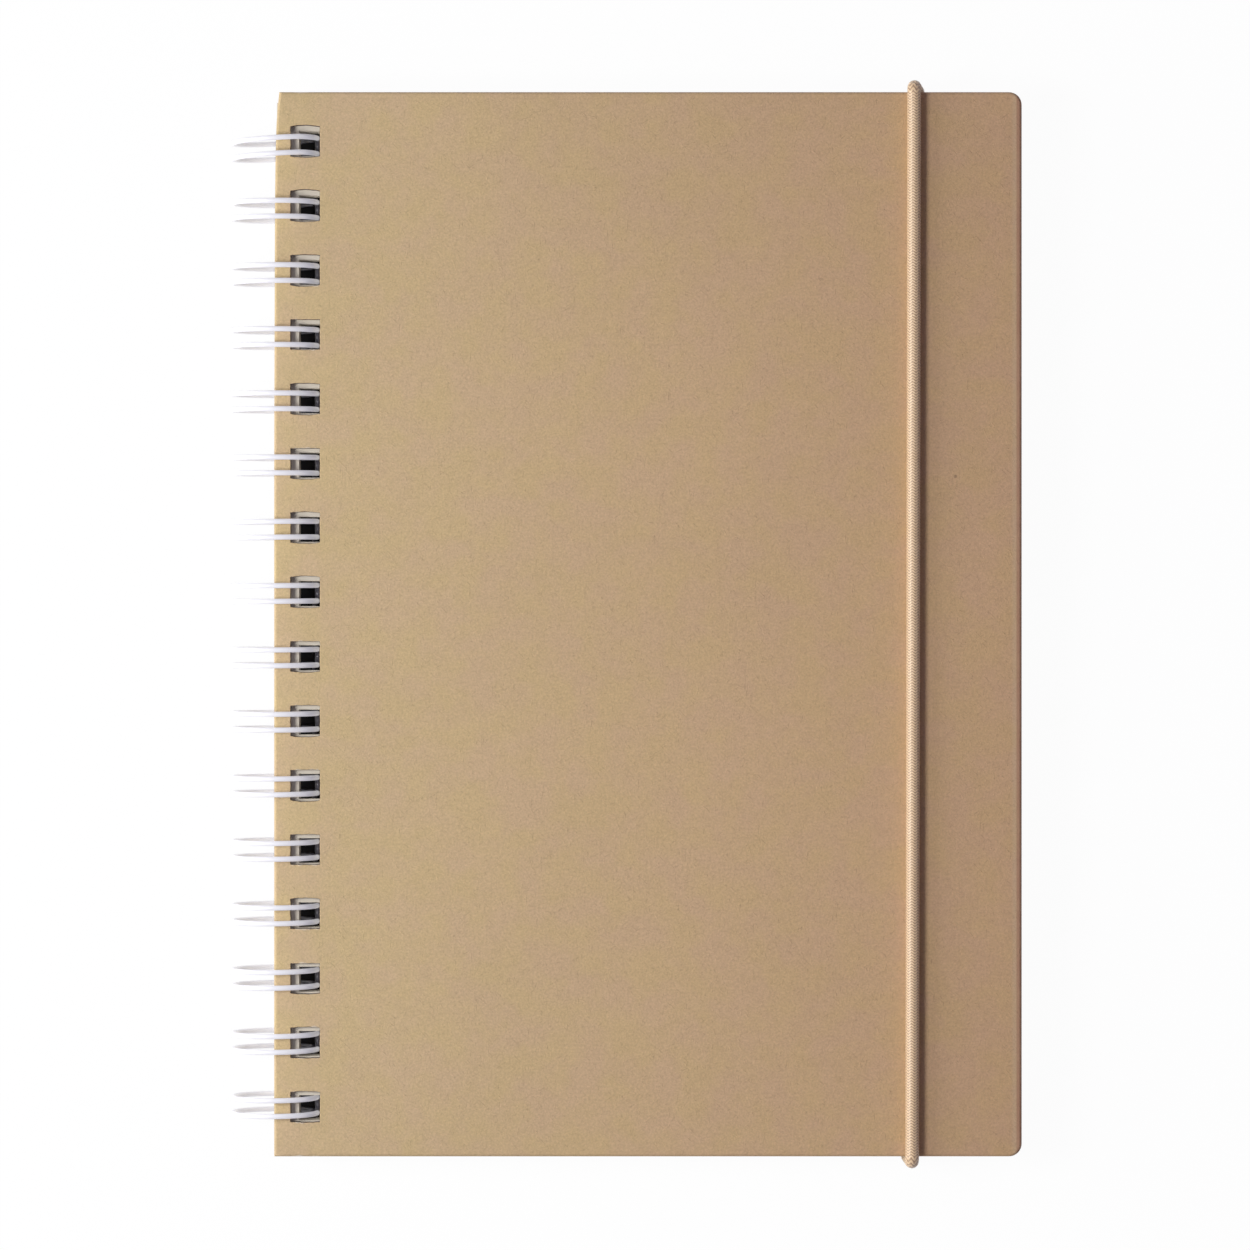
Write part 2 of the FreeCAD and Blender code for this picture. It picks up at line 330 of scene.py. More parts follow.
def kraft_finish():
    """The paper that both boards are wrapped in."""
    kraft = Finish("kraft_paper", Roughness=0.80)
    kraft.shader.inputs["Specular IOR Level"].default_value = 0.25
    blotch = kraft.noise(6.5 * MM, detail=2.5)
    tone = kraft.mix(blotch.above(0.36, 0.28), KRAFT_YELLOW, KRAFT_PINK)
    broad = kraft.noise(40 * MM, detail=1.0)
    grain = kraft.noise(0.45 * MM, detail=2.0, roughness=0.7)
    cloud = kraft.noise(2.2 * MM, detail=2.0)
    shade = 0.655 + broad * 0.06 + grain * 0.54 + cloud * 0.10
    relief = grain * 0.8
    for number in range(FIBRE_WAYS):
        turned = kraft.place(stretch=(2.2, 0.3, 1), turn=math.pi * (number + 0.3) / FIBRE_WAYS)
        fibre = kraft.noise(0.8 * MM, detail=1.0, where=turned).above(0.70, 0.06)
        shade = shade + fibre * (-0.09 if number % 2 else 0.06)
        relief = relief + fibre * 0.5
    cells = {"Vector": kraft.place(), "Scale": 1 / SPECK_SPACING, "Randomness": 1.0}
    centre_distance = kraft.node("ShaderNodeTexVoronoi", None, cells, output="Distance")
    cell_colour = kraft.node("ShaderNodeTexVoronoi", None, cells, output="Color")
    cell_chance = kraft.node("ShaderNodeSeparateColor", None, {0: cell_colour})
    speck = centre_distance.below(0.012, 0.008) * cell_chance.above(0.40, 0.05)
    shade = shade - speck * 0.6
    grey = kraft.node("ShaderNodeCombineColor", None, {0: shade, 1: shade, 2: shade})
    coloured = kraft.mix(1.0, tone, grey, how="MULTIPLY")
    across = kraft.node("ShaderNodeSeparateXYZ", None, {0: kraft.place()})
    # Painted shade: green and blue fall off from the spine to the fore-edge, away from the lamps.
    fore_edge_shaded = kraft.mix(1.0, coloured, FORE_EDGE_SHADE, how="MULTIPLY")
    shaded_to_fore_edge = kraft.mix(across.above(spine_x, fore_edge_x - spine_x), coloured, fore_edge_shaded)
    # Painted highlight: a lighter strip just inside the fore-edge, where the board starts to round.
    highlight_strip = across.above(fore_edge_x - 2.1 * MM, 0.5 * MM) * 0.25
    highlighted = kraft.mix(highlight_strip, shaded_to_fore_edge, EDGE_HIGHLIGHT)
    # Painted shade along the rounded fore-edge, broken by noise.
    edge_shade_breakup = kraft.noise(6 * MM, detail=2.0) * 0.5 + 0.45
    edge = across.above(fore_edge_x - 1.2 * MM, 0.3 * MM) * edge_shade_breakup
    edge_shaded = kraft.mix(edge, highlighted, EDGE_SHADE)
    along = kraft.node("ShaderNodeSeparateXYZ", None, {0: kraft.place()}, output=1)
    from_hole_x = across.nearest(hole_middle_x, 400 * MM)
    from_hole_y = along.nearest(hole_places[0], HOLE_PITCH)
    ragged = kraft.noise(1.6 * MM, detail=3.0)
    torn = (from_hole_x.below(COVER_HOLE.x / 2 - 0.5 * MM, 0.5 * MM)
            * (from_hole_y - ragged * 1.3 * MM).below(COVER_HOLE.y / 2 - 0.62 * MM, 0.16 * MM))
    kraft.feed(Base_Color=kraft.mix(torn * 0.75, edge_shaded, TORN_FIBRE))
    kraft.bump(relief + torn * 1.5, 0.045 * MM)
    return kraft.material


kraft_paper = kraft_finish()
print("the covers are wrapped in", kraft_paper.name)

# %% [markdown]
# The inner papers are plainer. The board under the kraft paper is pressed from waste fibre, and its
# dark, rough core shows only on the walls of the holes.

# %% Inner papers and board core


def plain_paper_finish(name, colour, layered=False):
    """Smooth uncoated paper. Seen from the side, a layered block shows one tone for each sheet."""
    paper = Finish(name, Roughness=0.85)
    paper.shader.inputs["Specular IOR Level"].default_value = 0.2
    grain = paper.noise(0.5 * MM, detail=2.0)
    cloud = paper.noise(20 * MM, detail=2.0)
    shade = 0.95 + grain * 0.04 + cloud * 0.05
    if layered:
        thin = paper.place(stretch=(5000, 5000, 1))
        shade = shade + paper.noise(0.11 * MM, detail=0.0, where=thin) * 0.12 - 0.08
    grey = paper.node("ShaderNodeCombineColor", None, {0: shade, 1: shade, 2: shade})
    paper.feed(Base_Color=paper.mix(1.0, colour, grey, how="MULTIPLY"))
    paper.bump(grain, 0.012 * MM)
    return paper.material


def board_core_finish():
    """The dark pressed board that shows where the holes are punched through it."""
    core = Finish("board_core", Roughness=0.95)
    fibres = core.noise(0.35 * MM, detail=4.0, where=core.place(stretch=(1, 1, 0.3)))
    core.feed(Base_Color=core.mix(fibres, screen(58, 46, 44), screen(112, 92, 80)))
    core.bump(fibres, 0.10 * MM)
    return core.material


end_paper = plain_paper_finish("end_paper", screen(214, 196, 164))
page_paper = plain_paper_finish("page_paper", screen(220, 212, 195), layered=True)
board_core = board_core_finish()
print("inner finishes:", end_paper.name, page_paper.name, board_core.name)

# %% [markdown]
# ## Modelling helpers
#
# An operator acts on whatever is selected, so each step first says what it means by its place.
# `pick` selects in edit mode, `cut` slices a flat sheet along a line, and `finish_piece` hands the
# piece to a body of the measured model and counts its triangles.

# %% Helpers for modelling
SAME_PLACE = 1e-6


def deselect():
    """Leave nothing selected."""
    if bpy.context.object and bpy.context.object.mode != "OBJECT":
        bpy.ops.object.mode_set(mode="OBJECT")
    bpy.ops.object.select_all(action="DESELECT")


def edit(piece):
    """Open one piece for editing."""
    deselect()
    piece.select_set(True)
    bpy.context.view_layer.objects.active = piece
    bpy.ops.object.mode_set(mode="EDIT")


def pick(piece, kind, test):
    """In edit mode, select only the vertices, edges or faces that pass the test."""
    bpy.ops.mesh.select_mode(type=kind)
    bpy.ops.mesh.select_all(action="DESELECT")
    mesh = bmesh.from_edit_mesh(piece.data)
    elements = {"VERT": mesh.verts, "EDGE": mesh.edges, "FACE": mesh.faces}[kind]
    for element in elements:
        if test(element):
            element.select_set(True)
    bmesh.update_edit_mesh(piece.data)


def middle(element):
    """The middle of an edge or a face."""
    return sum((v.co for v in element.verts), Vector()) / len(element.verts)


def cut(place, direction):
    """Slice the whole mesh at a place, square to a direction."""
    bpy.ops.mesh.select_all(action="SELECT")
    bpy.ops.mesh.bisect(plane_co=place, plane_no=direction)


def apply_modifier(piece, kind, **settings):
    """Add one modifier with its settings and apply it."""
    deselect()
    piece.select_set(True)
    bpy.context.view_layer.objects.active = piece
    modifier = piece.modifiers.new(kind.lower(), kind)
    for name, value in settings.items():
        setattr(modifier, name, value)
    bpy.ops.object.modifier_apply(modifier=modifier.name)


def finish_piece(piece, body, slot, *nodes):
    """Give a finished piece to its body, and hide the measured nodes that it stands for."""
    deselect()
    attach(piece, body)
    if nodes:
        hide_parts(*nodes)
    triangles = sum(len(face.vertices) - 2 for face in piece.data.polygons)
    print(piece.name, "rides on", body, "with", triangles, "triangles")


# %% [markdown]
# ## A punched sheet
#
# Covers and pages are the same idea: a flat rectangle with round corners at the fore-edge and a
# row of square holes beside the spine. A plane is sliced along every side of every hole, the
# faces in the holes are deleted and the two corners are bevelled. The slices also give paper
# enough points to bend.

# %% Punched sheet


def in_hole(point, hole, centre_x, shift, margin=0.0):
    """Whether a point lies in one of the binding holes, or within a margin of it."""
    if abs(point.x - centre_x) > hole.x / 2 + margin:
        return False
    return any(abs(point.y - shift - place) < hole.y / 2 + margin for place in hole_places)


def punched_sheet(name, low, high, hole, centre_x, shift, extra_x, extra_y):
    """A flat sheet at the height of its upper corner, with its holes and round corners."""
    deselect()
    centre = (low + high) / 2
    bpy.ops.mesh.primitive_plane_add(size=1, location=(centre.x, centre.y, high.z))
    piece = bpy.context.object
    piece.name = name
    piece.data.name = name
    piece.scale = (high.x - low.x, high.y - low.y, 1)
    bpy.ops.object.transform_apply(location=True, rotation=True, scale=True)
    edit(piece)
    for x in [centre_x - hole.x / 2, centre_x + hole.x / 2, *extra_x]:
        cut((x, 0, high.z), (1, 0, 0))
    sides = [place + shift + side * hole.y / 2 for place in hole_places for side in (-1, 1)]
    for y in [*sides, *extra_y]:
        cut((0, y, high.z), (0, 1, 0))
    pick(piece, "FACE", lambda face: in_hole(face.calc_center_median(), hole, centre_x, shift))
    bpy.ops.mesh.delete(type="FACE")
    pick(piece, "VERT", lambda v: high.x - v.co.x < SAME_PLACE and
         min(high.y - v.co.y, v.co.y - low.y) < SAME_PLACE)
    bpy.ops.mesh.bevel(offset=CORNER_RADIUS, segments=8, affect="VERTICES")
    bpy.ops.object.mode_set(mode="OBJECT")
    return piece


# %% [markdown]
# ## The covers
#
# A cover is a pressed board with kraft paper pulled round its edges and glued down inside, where
# a sheet of end paper hides the turned-in border. So its outer edges are soft, its holes show the
# dark core, and its inner face has a slightly raised panel. The punch tore the paper a little, so
# the holes' sides are not quite straight.

# %% Cover board
WRAP_RADIUS = 0.6 * MM
HOLE_EDGE_RADIUS = 0.2 * MM
TURN_IN = 4.0 * MM
SPINE_INSET = 1.6 * MM
END_PAPER_THICKNESS = 0.06 * MM
TEAR = 0.05 * MM
TEAR_ARCH = 0.32 * MM
TEAR_POINTS = 7


def cover_board(name, low, high, inside, seed):
    """One cover: inside is 1 if its inner face looks up and -1 if it looks down."""
    rng = random.Random(seed)
    inset_x = [low.x + SPINE_INSET, high.x - TURN_IN]
    inset_y = [high.y - TURN_IN, low.y + TURN_IN]
    piece = punched_sheet(name, low, high, COVER_HOLE, hole_middle_x, 0, inset_x, inset_y)
    edit(piece)

    def near_hole_point(point, margin=0.01 * MM):
        return in_hole(point, COVER_HOLE, hole_middle_x, 0, margin)

    def near_hole(element):
        return near_hole_point(middle(element), TEAR_ARCH + 0.3 * MM)

    pick(piece, "EDGE", lambda edge: edge.is_boundary and near_hole(edge))
    bpy.ops.mesh.subdivide(number_cuts=TEAR_POINTS)
    mesh = bmesh.from_edit_mesh(piece.data)
    arches = [(rng.uniform(0, TEAR_ARCH), rng.uniform(0, TEAR_ARCH)) for _ in hole_places]
    for vertex in mesh.verts:
        corner = len(vertex.link_edges) > 3
        if vertex.is_boundary and not corner and near_hole_point(vertex.co):
            number = min(range(HOLE_COUNT), key=lambda n: abs(vertex.co.y - hole_places[n]))
            side = 1 if vertex.co.y > hole_places[number] else -1
            across = (vertex.co.x - hole_middle_x) / (COVER_HOLE.x / 2)
            if abs(across) < 0.99:
                arch = arches[number][side > 0] * (1 - across ** 2) ** 0.7
                vertex.co.y += side * (arch + rng.uniform(-TEAR, TEAR))
            else:
                vertex.co.x += rng.uniform(-TEAR, TEAR)
    bmesh.update_edit_mesh(piece.data)

    bpy.ops.mesh.select_all(action="SELECT")
    drop = Vector((0, 0, low.z - high.z))
    bpy.ops.mesh.extrude_region_move(TRANSFORM_OT_translate={"value": drop})
    bpy.ops.mesh.select_all(action="SELECT")
    bpy.ops.mesh.normals_make_consistent(inside=False)

    def rim(edge):
        level = all(abs(abs(v.co.z - (low.z + high.z) / 2) - (high.z - low.z) / 2) < SAME_PLACE
                    for v in edge.verts)
        steep = any(abs(face.normal.z) < 0.5 for face in edge.link_faces)
        flat = any(abs(face.normal.z) > 0.5 for face in edge.link_faces)
        return level and steep and flat

    pick(piece, "EDGE", lambda edge: rim(edge) and not near_hole(edge))
    bpy.ops.mesh.bevel(offset=WRAP_RADIUS, segments=4, affect="EDGES", clamp_overlap=True)
    pick(piece, "EDGE", lambda edge: rim(edge) and near_hole(edge))
    bpy.ops.mesh.bevel(offset=HOLE_EDGE_RADIUS, segments=2, affect="EDGES")

    inner_z = high.z if inside > 0 else low.z

    def panel(face):
        centre = face.calc_center_median()
        return (abs(centre.z - inner_z) < SAME_PLACE and abs(face.normal.z) > 0.9
                and inset_x[0] < centre.x < inset_x[1] and inset_y[1] < centre.y < inset_y[0])

    pick(piece, "FACE", panel)
    lift = Vector((0, 0, inside * END_PAPER_THICKNESS))
    bpy.ops.mesh.extrude_region_move(TRANSFORM_OT_translate={"value": lift})
    bpy.ops.object.mode_set(mode="OBJECT")
    return piece


# %% [markdown]
# The back cover has two round holes more, for the ends of the cord. A Boolean with a cylinder
# drills them. The spine edge was trimmed slightly askew near the head and its corner is worn, so
# the points of that edge are moved in by a curve that grows towards the corner.

# %% Drill, paint and wear
CORD_HOLE_RADIUS = 1.5 * MM
CORNER_WEAR = 0.8 * MM
CORNER_WEAR_REACH = 6 * MM
ASKEW_TRIM = 0.2 * MM
ASKEW_REACH = 70 * MM


def drill_cord_holes(piece, low, high):
    """Drill the two round holes that the cord's ends go through."""
    for end in ("head", "tail"):
        bar_low, bar_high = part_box("cord_clip_" + end)
        centre = (bar_low + bar_high) / 2
        deselect()
        bpy.ops.mesh.primitive_cylinder_add(vertices=48, radius=CORD_HOLE_RADIUS,
                                            depth=3 * (high.z - low.z),
                                            location=(centre.x, centre.y, (low.z + high.z) / 2))
        drill = bpy.context.object
        apply_modifier(piece, "BOOLEAN", object=drill, operation="DIFFERENCE", solver="EXACT")
        bpy.data.objects.remove(drill)


def paint_cover(piece, low, high, inside):
    """Kraft outside, end paper on the raised panel and dark core on the walls of the holes."""
    for material in (kraft_paper, end_paper, board_core):
        piece.data.materials.append(material)
    inner_z = high.z if inside > 0 else low.z
    for face in piece.data.polygons:
        if (face.center.z - inner_z) * inside > 0.2 * END_PAPER_THICKNESS:
            face.material_index = 1
        elif abs(face.normal.z) < 0.9 and in_hole(face.center, COVER_HOLE, hole_middle_x, 0,
                                                  TEAR_ARCH + 0.3 * MM):
            face.material_index = 2


def trim_askew(piece):
    """Pull the spine edge in a little near the head, most of all at the corner."""
    edge_zone = 1.5 * MM
    for vertex in piece.data.vertices:
        below_head = front_high.y - vertex.co.y
        pull = (ASKEW_TRIM * max(0, 1 - below_head / ASKEW_REACH)
                + CORNER_WEAR * math.exp(-below_head / CORNER_WEAR_REACH))
        nearness = 1 - (vertex.co.x - spine_x) / edge_zone
        vertex.co.x += pull * min(1, max(0, nearness * 1.5))


def smooth_flat(piece, angle=60):
    """Round the shading of the soft edges and keep the large faces flat."""
    deselect()
    piece.select_set(True)
    bpy.context.view_layer.objects.active = piece
    bpy.ops.object.shade_smooth_by_angle(angle=math.radians(angle))
    apply_modifier(piece, "WEIGHTED_NORMAL", mode="FACE_AREA", weight=100, keep_sharp=True)


front_board = cover_board("front_board", front_low, front_high, -1, seed=3)
paint_cover(front_board, front_low, front_high, -1)
trim_askew(front_board)
smooth_flat(front_board)
finish_piece(front_board, "front_cover", "kraft_board", "front_cover")

back_board = cover_board("back_board", back_low, back_high, 1, seed=8)
drill_cord_holes(back_board, back_low, back_high)
paint_cover(back_board, back_low, back_high, 1)
trim_askew(back_board)
smooth_flat(back_board)
finish_piece(back_board, "back_cover", "kraft_board", "back_cover")

# %% [markdown]
# ## The pages
#
# From the side, a block of paper is a stack of fine lines that are never quite in line. So the
# sheets are real: one is modelled, and each copy is shifted by a hair. Near the spine they are
# held at their places, and towards the fore-edge the loose sheets settle onto the back cover,
# humping a little over the two metal bars that hold the cord's ends.

# %% Pages
SHEET_COUNT = 70
SHEET_BODY = 0.085 * MM
LOWEST_GAP = 0.22 * MM
SETTLE_START = 12 * MM
SETTLE_END = 45 * MM
SHEET_STRAY = 0.14 * MM
BAR_HEIGHT = 0.9 * MM
BAR_HUMP_WIDTH = 9 * MM

cord_x = (cord_low.x + cord_high.x) / 2
bar_places = [Vector(((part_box(node)[0].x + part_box(node)[1].x) / 2,
                      (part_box(node)[0].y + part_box(node)[1].y) / 2))
              for node in ("cord_clip_head", "cord_clip_tail")]


def smooth_step(value):
    """0 to 1 with soft ends."""
    value = min(1, max(0, value))
    return value * value * (3 - 2 * value)


def settle(point):
    """How far the lowest sheet sinks below its place near the spine, in metres."""
    space = pages_low.z - back_high.z
    free = space - LOWEST_GAP
    hump = max(math.exp(-(point.xy - bar).length_squared / (2 * BAR_HUMP_WIDTH ** 2))
               for bar in bar_places)
    room = min(free, space - BAR_HEIGHT - 0.05 * MM)
    depth = free + (room - free) * min(1, hump * 1.35)
    along = (point.x - pages_low.x - SETTLE_START) / (SETTLE_END - SETTLE_START)
    return depth * smooth_step(along)


def page_sheets():
    """All the sheets, each its own thin slab, joined into one piece."""
    hole_x = hole_middle_x + PAGE_HOLE_OFFSET
    extra_x = [pages_low.x + part * MM for part in (17, 25, 35, 47, 75, 103, 117, 125, 133)]
    single = punched_sheet("paper_sheets", pages_low, pages_high, PAGE_HOLE, hole_x,
                           -TAILWARD_SHIFT, extra_x, [])
    apply_modifier(single, "SOLIDIFY", thickness=SHEET_BODY, offset=-1)
    rng = random.Random(5)
    pitch = (pages_high.z - pages_low.z) / SHEET_COUNT
    copies = []
    for number in range(SHEET_COUNT):
        copy = single.copy()
        copy.data = single.data.copy()
        bpy.context.scene.collection.objects.link(copy)
        down = (number + 0.1) * pitch
        stray = Vector((rng.uniform(-1, 1), rng.uniform(-1, 1), 0)) * SHEET_STRAY
        share = (number + 1) / SHEET_COUNT
        wave = rng.uniform(0, 2 * math.pi)
        for vertex in copy.data.vertices:
            ripple = 0.006 * MM * math.sin(vertex.co.y / (17 * MM) + wave)
            held = smooth_step((vertex.co.x - pages_low.x - SETTLE_START) / SETTLE_END)
            sink = settle(vertex.co) * share - ripple * held
            vertex.co += stray * (0.3 + 0.7 * held) - UP * (down + sink)
        copies.append(copy)
    bpy.data.objects.remove(single)
    deselect()
    for copy in copies:
        copy.select_set(True)
    bpy.context.view_layer.objects.active = copies[0]
    bpy.ops.object.join()
    block = bpy.context.object
    block.name = "paper_sheets"
    block.data.materials.append(page_paper)
    return block


paper_sheets = page_sheets()
finish_piece(paper_sheets, "binding", "pages", "page_block")

# %% [markdown]
# ## The binding wire
#
# The wire is one long rod that a machine bends into flat loops and then closes into rings. It is
# drawn here the way it is made: a bender holds the end of the rod, pushes it straight on or turns
# it about a centre. In Blender, that is a circle that is extruded or spun, again and again.

# %% Wire bender
WIRE_DIAMETER = 1.05 * MM
WIRE_SIDES = 14
RING_PAIR_SPACING = 3.1 * MM
LINK_BEND_RADIUS = 1.0 * MM
WIRE_CLEARANCE = 0.1 * MM
SEAM_GAP = 0.35 * MM
WIRE_END = 0.8 * MM

ring_radius = (wire_high.z - wire_low.z - WIRE_DIAMETER) / 2
tip_radius = RING_PAIR_SPACING / 2
link_level = back_high.z - ring_axis.z + WIRE_CLEARANCE + WIRE_DIAMETER / 2
link_angle = math.asin(link_level / math.hypot(ring_radius, LINK_BEND_RADIUS))
root_angle = link_angle - math.atan(LINK_BEND_RADIUS / ring_radius)
tip_angle = (link_angle + (WIRE_DIAMETER + SEAM_GAP) / ring_radius
             + math.atan(tip_radius / ring_radius))
print("rings of radius", round(ring_radius / MM, 2), "mm close at",
      round(math.degrees(link_angle), 1), "degrees")


class Bender:
    """The end of a rod, which can be pushed straight on or turned about a centre."""

    def __init__(self, name, start, heading):
        deselect()
        facing = heading.to_track_quat("Z", "Y").to_euler()
        bpy.ops.mesh.primitive_circle_add(vertices=WIRE_SIDES, radius=WIRE_DIAMETER / 2,
                                          location=start, rotation=facing)
        self.piece = bpy.context.object
        self.piece.name = name
        bpy.ops.object.transform_apply(location=True, rotation=True, scale=True)
        bpy.ops.object.mode_set(mode="EDIT")
        bpy.ops.mesh.select_all(action="SELECT")
        self.place = start.copy()
        self.heading = heading.normalized()

    def straight(self, length):
        """Push the rod on by a length."""
        step = self.heading * length
        bpy.ops.mesh.extrude_region_move(TRANSFORM_OT_translate={"value": step})
        self.place += step

    def bend(self, centre, angle, steps):
        """Turn the rod about a centre beside its end. The spin tool turns clockwise."""
        axis = self.heading.cross(centre - self.place).normalized()
        bpy.ops.mesh.spin(steps=steps, angle=angle, center=centre, axis=-axis)
        turn = Matrix.Rotation(angle, 3, axis)
        self.place = centre + turn @ (self.place - centre)
        self.heading = turn @ self.heading

    def done(self):
        """Leave edit mode, and say how far the rod's end is from where it should be."""
        mesh = bmesh.from_edit_mesh(self.piece.data)
        end = [vertex.co for vertex in mesh.verts if vertex.select]
        error = (sum(end, Vector()) / len(end) - self.place).length
        bpy.ops.object.mode_set(mode="OBJECT")
        return self.piece, error


# %% [markdown]
# No two pairs of rings are alike. They sit lower in the holes near the head than near the tail,
# and each leans a little. The pair nearest the head leans most. A ring leaves its link downwards,
# goes all the way round and comes down through the pages, where its tip ends above the links.

# %% Rings
FIRST_LEAN = 0.068
LEAN = 0.012
TILT = 0.012
# Painted shade and light on the wire: the first two are dark greys deep in the holes, the next is a
# lit white and the last a glow.
ENAMEL_DEEP_SHADE = screen(104, 102, 112)
ENAMEL_SHADE = screen(134, 132, 142)
ENAMEL_LIT = screen(206, 206, 208)
ENAMEL_GLOW = (0.285, 0.285, 0.31, 1.0)


def ring_point(angle, y):
    """A point on the rings' centre line."""
    return Vector((ring_axis.x + ring_radius * math.cos(angle), y,
                   ring_axis.z + ring_radius * math.sin(angle)))


def ring_drop(place):
    """How far a pair of rings sits towards the tail of its hole."""
    toward_head = place / (HOLE_PITCH * HOLE_COUNT) + 0.5
    return (-0.10 + 0.55 * toward_head + 0.07 * math.sin(9 * toward_head)) * MM


def double_ring(number, before, after):
    """One pair of rings with half a link on each side, drawn from tail to head."""
    centre_y = hole_places[number] - ring_drop(hole_places[number])
    down = Vector((math.sin(root_angle), 0, -math.cos(root_angle)))
    root = ring_point(root_angle, centre_y - tip_radius)
    bend_centre = root - ALONG * LINK_BEND_RADIUS
    start = bend_centre - down * LINK_BEND_RADIUS
    start.y = before
    rod = Bender("rings_" + str(number), start, ALONG)
    rod.straight(bend_centre.y - before)
    rod.bend(bend_centre, math.pi / 2, 6)
    axis = Vector((ring_axis.x, root.y, ring_axis.z))
    sweep = 2 * math.pi - (tip_angle - root_angle)
    rod.bend(axis, sweep, 72)
    rod.bend(ring_point(tip_angle, centre_y), math.pi, 14)
    rod.bend(Vector((axis.x, centre_y + tip_radius, axis.z)), sweep, 72)
    bend_centre = rod.place + ALONG * LINK_BEND_RADIUS
    rod.bend(bend_centre, math.pi / 2, 6)
    rod.straight(after - rod.place.y)
    return rod.done()


def lean_rings(piece, slope, root):
    """Swing a pair of rings towards the tail, away from its links, and tip its top that way."""
    for vertex in piece.data.vertices:
        away = max(0, root.x - vertex.co.x - 1.5 * MM)
        above = max(0, vertex.co.z - root.z - 1.5 * MM)
        vertex.co.y -= slope * away + TILT * above


def whole_wire():
    """Every pair of rings, joined end to end into one rod with closed ends."""
    rng = random.Random(11)
    half = HOLE_PITCH / 2
    pieces = []
    worst = 0
    for number, place in enumerate(hole_places):
        drop = ring_drop(place)
        last = number == HOLE_COUNT - 1
        reach = tip_radius + LINK_BEND_RADIUS + WIRE_END
        before = place - drop - reach if number == 0 else place - half
        after = place - drop + reach if last else place + half
        pair, error = double_ring(number, before, after)
        worst = max(worst, error)
        slope = FIRST_LEAN if last else rng.uniform(0, LEAN)
        lean_rings(pair, slope, ring_point(root_angle, 0))
        pieces.append(pair)
    deselect()
    for pair in pieces:
        pair.select_set(True)
    bpy.context.view_layer.objects.active = pieces[0]
    bpy.ops.object.join()
    wire = bpy.context.object
    wire.name = "double_loop_wire"
    edit(wire)
    bpy.ops.mesh.select_all(action="SELECT")
    bpy.ops.mesh.remove_doubles(threshold=0.02 * MM)
    bpy.ops.mesh.fill_holes(sides=0)
    bpy.ops.mesh.select_all(action="SELECT")
    bpy.ops.mesh.normals_make_consistent(inside=False)
    bpy.ops.object.mode_set(mode="OBJECT")
    bpy.ops.object.shade_smooth_by_angle(angle=math.radians(50))
    print("bends end within", round(worst / MM, 4), "mm of their places")
    return wire


def enamel_finish():
    """White enamel baked on steel wire: glossy, with the faint unevenness of a thick layer.

    The photo's rings are almost as bright as the ground, also on their shaded side. So outside the
    cover and high in the holes the enamel is painted a lit white and has a little light of its own,
    a painted glow. Deep in the holes it has no glow and is painted dark grey, a painted shade that
    the unevenness mottles.
    """
    enamel = Finish("white_enamel", Roughness=0.32, Coat_Weight=0.25, Coat_Roughness=0.12,
                    Emission_Strength=1.0)
    uneven = enamel.noise(0.9 * MM, detail=2.0)
    here = {0: enamel.place()}
    across = enamel.node("ShaderNodeSeparateXYZ", None, here)
    upward = enamel.node("ShaderNodeSeparateXYZ", None, here, output=2)
    outside = across.below(spine_x - 1 * MM, 2 * MM)
    high = upward.above(pages_high.z - 4 * MM, 1.5 * MM)
    open_air = outside.or_where(high)
    # Painted shade: deep in the holes the wire is painted dark grey, mottled by noise. Outside the
    # cover and high in the holes it is painted a lit white with a painted glow.
    painted_shade_in_holes = enamel.mix(uneven, ENAMEL_DEEP_SHADE, ENAMEL_SHADE)
    enamel.feed(Base_Color=enamel.mix(open_air, painted_shade_in_holes, ENAMEL_LIT),
                Emission_Color=enamel.mix(open_air, (0, 0, 0, 1), ENAMEL_GLOW))
    enamel.bump(uneven, 0.015 * MM)
    return enamel.material


double_loop_wire = whole_wire()
double_loop_wire.data.materials.append(enamel_finish())
finish_piece(double_loop_wire, "binding", "white_wire", "binding_wire")

# %% [markdown]
# ## The elastic cord
#
# The cord is rubber inside a braid. Its threads run up and down in narrow columns, and the slant
# changes from one column to the next, which the eye reads as a row of arrowheads. One ring of
# stitches is modelled, repeated by an Array and laid along the cord's route by a Curve modifier.
#
# The route is straight runs with round bends: out of the back cover, round the edge, over the
# front and back again. It is split beside the back cover into the part over the front and the
# two ends under the back cover.

# %% Braid stitch
CORD_RADIUS = 1.38 * MM
COLUMNS = 12
POINTS_PER_COLUMN = 4
RINGS_PER_STITCH = 4
STITCH = 0.56 * MM
THREAD_RELIEF = 0.12 * MM
COLUMN_RELIEF = 0.05 * MM
SLANT = 0.9
BRAID_TURN = 0.4
PRESS_GAP = 0.01 * MM


def stitch_height(along, around):
    """The heights of thread and column, 0 to 1, at a share of a stitch and of the way round."""
    column = around * COLUMNS
    across = column % 1
    slant = SLANT if int(column) % 2 == 0 else -SLANT
    thread = 0.5 + 0.5 * math.cos(2 * math.pi * (along + slant * (across - 0.5)))
    ridge = 1 - abs(2 * across - 1) ** 3
    return thread, ridge


